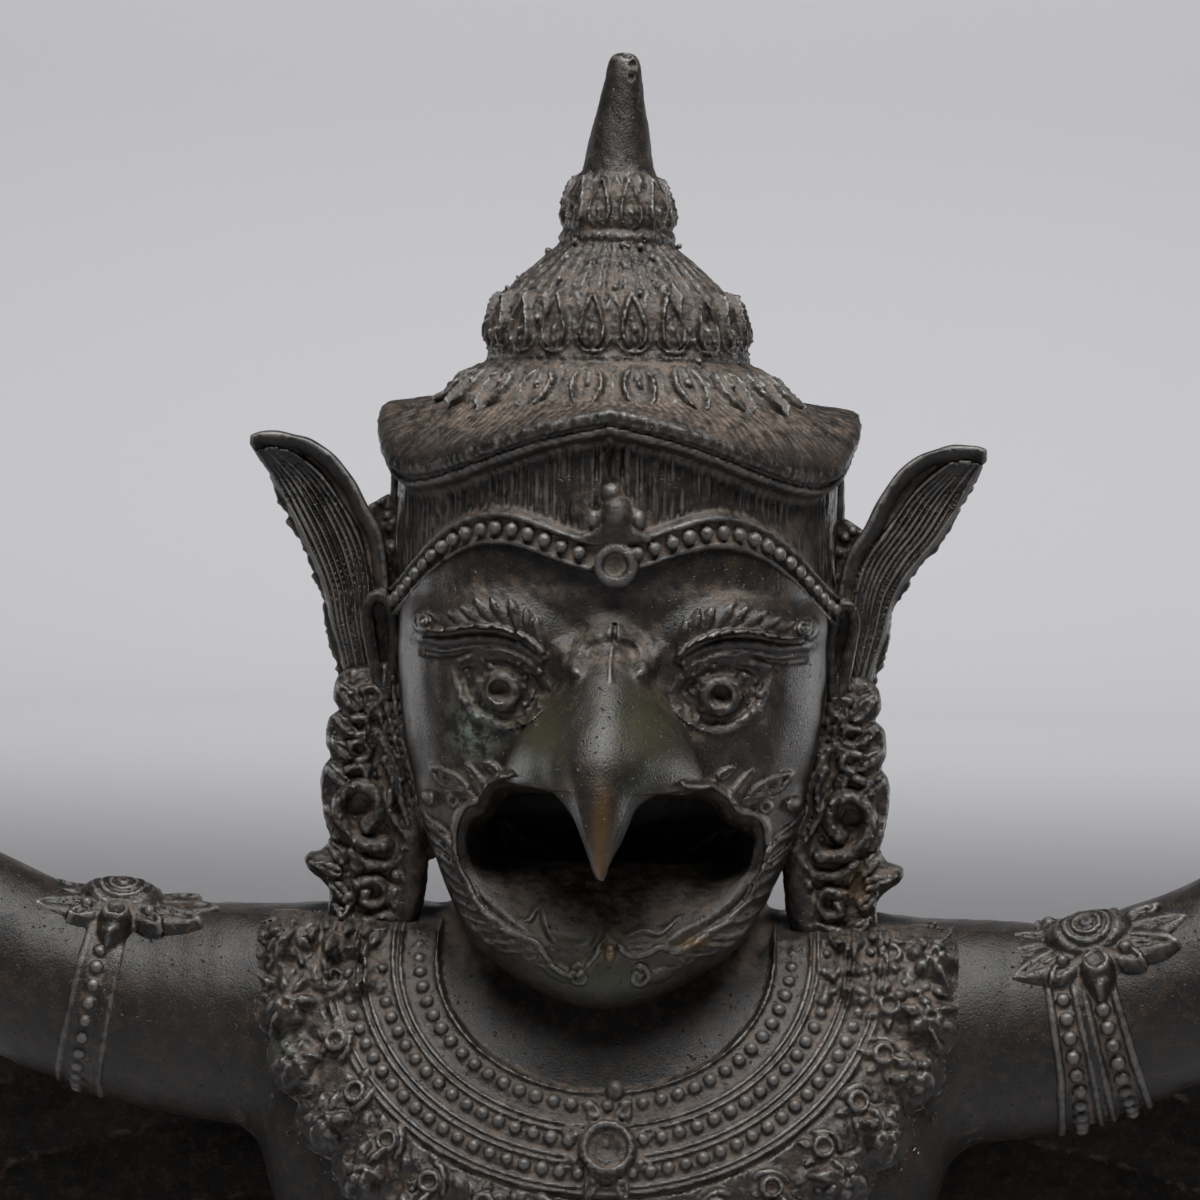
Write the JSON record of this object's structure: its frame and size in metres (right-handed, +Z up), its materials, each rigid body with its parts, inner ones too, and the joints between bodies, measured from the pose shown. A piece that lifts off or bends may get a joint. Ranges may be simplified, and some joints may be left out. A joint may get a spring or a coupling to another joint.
{
  "type": "garuda figure bust",
  "caption": "Bust of a garuda, the bird king, cast in dark bronze: beaked face, winged ears, tiered pointed crown, beaded collar and raised upper arms, cut flat below.",
  "frame": {"origin": "the middle of the flat underside", "axes": "+Z up to the tip of the crown, the face looks along -Y, and the arms reach along X"},
  "size_m": [0.376, 0.1657, 0.353],
  "materials": {
    "bronze": "dark brown-black patina, semi-gloss, worn light on raised edges, pale dust in the hollows"
  },
  "bodies": {
    "root": {"garuda_bust": "bronze"}
  },
  "joints": []
}
